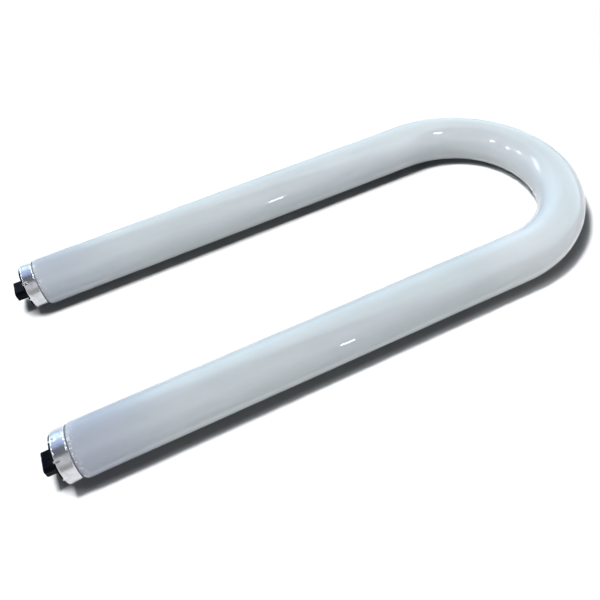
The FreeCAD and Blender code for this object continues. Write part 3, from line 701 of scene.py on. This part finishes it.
WALL_FOOT = 0.15
BACK_WALL_TOP = 0.27
FRONT_WALL_TOP = 0.55
WALL_TURN = 0.8
BACK_WALL_SPAN = (-0.4, 0.6)
RIGHT_WALL_TURN = -0.2
RIGHT_WALL_SPAN = (0.35, 0.95)
KEY_PLACE = Vector((-0.20, 0.0, 0.85))
KEY_STRENGTH = 3.15
KEY_RADIUS = 0.075
GLINT_DISTANCE = 2.5
SNOOT_SUBJECT = Vector((0.1537, 0.066, 0.0335))
SNOOT_FROM = Vector((0.103, -0.429, 0.897))
SNOOT_DISTANCE = 0.8


def shade_over(tree, over, shades):
    """Colours from the back horizon, over the top, to the front horizon, by degrees."""
    ramp = place_node(tree, "ShaderNodeValToRGB", {0: over})
    stops = ramp.color_ramp.elements
    while len(stops) < len(shades):
        stops.new(0.5)
    for stop, (degrees, shade) in zip(stops, shades.items()):
        stop.position = degrees / 180.0
        stop.color = (*shade, 1.0)
    return ramp.outputs["Color"]


def light_room():
    world = bpy.data.worlds.new("pale_room")
    bpy.context.scene.world = world
    world.use_nodes = True
    tree = world.node_tree
    tree.nodes.clear()
    direction = place_node(tree, "ShaderNodeTexCoord").outputs["Generated"]
    towards = place_node(tree, "ShaderNodeSeparateXYZ", {0: direction}).outputs
    over = work_out(tree, "DIVIDE", work_out(tree, "ARCTAN2", towards["Z"], towards["Y"]), math.pi)
    facing = place_node(tree, "ShaderNodeVectorMath", {0: direction, 1: WINDOW_FACES},
                        operation="DOT_PRODUCT").outputs["Value"]
    in_front = span(tree, facing, -WINDOW_FACE_SOFTNESS, WINDOW_FACE_SOFTNESS, smooth=True)
    past_edge = span(tree, towards["X"], WINDOW_EDGE - WINDOW_EDGE_SOFTNESS,
                     WINDOW_EDGE + WINDOW_EDGE_SOFTNESS, smooth=True)
    on_right = work_out(tree, "MINIMUM", in_front, past_edge)
    left_side = shade_over(tree, over, LEFT_SIDE)
    room_seen = blend_colour(tree, on_right, left_side, shade_over(tree, over, WINDOW_SIDE))

    side = work_out(tree, "MULTIPLY_ADD", towards["X"], WALL_TURN, towards["Y"])
    to_back = span(tree, side, *BACK_WALL_SPAN, smooth=True)
    wall_light = blend_colour(tree, to_back, FRONT_LIGHT, BACK_LIGHT)
    to_right = work_out(tree, "MULTIPLY_ADD", towards["Y"], RIGHT_WALL_TURN, towards["X"])
    to_right = span(tree, to_right, *RIGHT_WALL_SPAN, smooth=True)
    wall_light = blend_colour(tree, to_right, wall_light, RIGHT_LIGHT)
    wall_top = span(tree, to_back, 0.0, 1.0, FRONT_WALL_TOP, BACK_WALL_TOP)
    up = span(tree, towards["Z"], WALL_FOOT, wall_top, smooth=True)
    room_light = blend_colour(tree, up, wall_light, CEILING_LIGHT)
    ray = place_node(tree, "ShaderNodeLightPath").outputs
    mirrored = work_out(tree, "MAXIMUM", ray["Is Glossy Ray"], ray["Is Transmission Ray"])
    colour = blend_colour(tree, mirrored, room_light, room_seen)
    colour = blend_colour(tree, ray["Is Camera Ray"], colour, (1.0, 1.0, 1.0, 1.0))
    glow = place_node(tree, "ShaderNodeBackground", {"Color": colour, "Strength": 1.0})
    place_node(tree, "ShaderNodeOutputWorld", {"Surface": glow.outputs[0]})


def hang_lamp(name, lamp, place, towards):
    """Put a lamp at a place, facing back along a direction."""
    holder = bpy.data.objects.new(name, lamp)
    holder.location = place
    holder.rotation_mode = "QUATERNION"
    holder.rotation_quaternion = Vector(towards).to_track_quat("Z", "Y")
    holder.visible_camera = False
    bpy.context.scene.collection.objects.link(holder)
    return holder


def add_glint(name, towards, width, height, radiance, subject=(0.0, 0.0, 0.0), distance=GLINT_DISTANCE):
    """A small far lamp, set by how bright its own face looks from its subject."""
    lamp = bpy.data.lights.new(name, "AREA")
    lamp.shape = "RECTANGLE"
    lamp.size = width
    lamp.size_y = height
    lamp.energy = radiance * math.pi * width * height
    place = Vector(subject) + Vector(towards).normalized() * distance
    hang_lamp(name, lamp, place, towards).visible_diffuse = False


def add_key():
    """A round lamp over the caps' end, evened out so that the bend gets as much light."""
    lamp = bpy.data.lights.new("key", "POINT")
    lamp.energy = KEY_STRENGTH * 4 * math.pi
    lamp.shadow_soft_size = KEY_RADIUS
    lamp.use_nodes = True
    tree = lamp.node_tree
    tree.nodes.clear()
    even = place_node(tree, "ShaderNodeLightFalloff", {"Strength": 1.0}).outputs["Constant"]
    glow = place_node(tree, "ShaderNodeEmission", {"Strength": even})
    place_node(tree, "ShaderNodeOutputLight", {"Surface": glow.outputs[0]})
    hang_lamp("key", lamp, KEY_PLACE, (0.0, 0.0, 1.0)).visible_glossy = False


def add_snoot():
    """A narrow lamp that leaves one glint on the bend."""
    lamp = bpy.data.lights.new("snoot", "SPOT")
    lamp.energy = 4.0
    lamp.spot_size = math.radians(7.0)
    lamp.shadow_soft_size = 0.06
    place = SNOOT_SUBJECT + SNOOT_DISTANCE * SNOOT_FROM
    hang_lamp("snoot", lamp, place, SNOOT_FROM).visible_diffuse = False


light_room()
add_key()
add_glint("glint_front", (0.222, -0.935, 0.277), 0.07, 0.17, 30.0)
add_glint("glint_front_low", (-0.012, -0.989, 0.128), 0.06, 0.16, 6.0)
add_glint("glint_back", (-0.203, 0.949, 0.242), 0.05, 0.12, 2.5, (-0.1944, -0.0762, 0.0369))
add_glint("glint_left", (-0.721, -0.098, 0.686), 0.24, 0.22, 26.0, (0.188, 0.034, 0.0305))
add_glint("glint_left_low", (-0.818, 0.194, 0.541), 0.20, 0.19, 24.0, (0.1936, 0.0192, 0.0298))
add_glint("glint_back_left", (-0.699, 0.422, 0.577), 0.24, 0.22, 20.0, (0.1966, 0.0087, 0.0308))
add_glint("window", (-0.44, 0.75, 0.48), 4.2, 11.0, 6.0, (0.1966, -0.014, 0.0316), 25.0)
add_snoot()

# Camera: it stands in front of the legs and looks down over them towards the bend, and it is turned a little
# about its own line of sight.
CAMERA_PLACE = Vector((-0.11496, -0.30797, 0.34274))
CAMERA_AZIMUTH = math.radians(-17.1958)
CAMERA_DOWN = math.radians(48.9857)
CAMERA_ROLL = math.radians(9.5307)
CAMERA_LENS = 34.969
CAMERA_SENSOR = 36.0

sight = Vector((-math.sin(CAMERA_AZIMUTH) * math.cos(CAMERA_DOWN),
                math.cos(CAMERA_AZIMUTH) * math.cos(CAMERA_DOWN), -math.sin(CAMERA_DOWN)))
level_right = Vector((math.cos(CAMERA_AZIMUTH), math.sin(CAMERA_AZIMUTH), 0.0))
level_down = sight.cross(level_right)
right = math.cos(CAMERA_ROLL) * level_right + math.sin(CAMERA_ROLL) * level_down
up = math.sin(CAMERA_ROLL) * level_right - math.cos(CAMERA_ROLL) * level_down
camera = bpy.data.objects.new("camera", bpy.data.cameras.new("camera"))
camera.data.lens = CAMERA_LENS
camera.data.sensor_width = CAMERA_SENSOR
camera.data.clip_start = 0.01
camera.data.clip_end = 50.0
turned = Matrix((right, up, -sight)).transposed().to_4x4()
camera.matrix_world = Matrix.Translation(CAMERA_PLACE) @ turned
bpy.context.scene.collection.objects.link(camera)
bpy.context.scene.camera = camera
bpy.context.scene.view_settings.view_transform = "Standard"
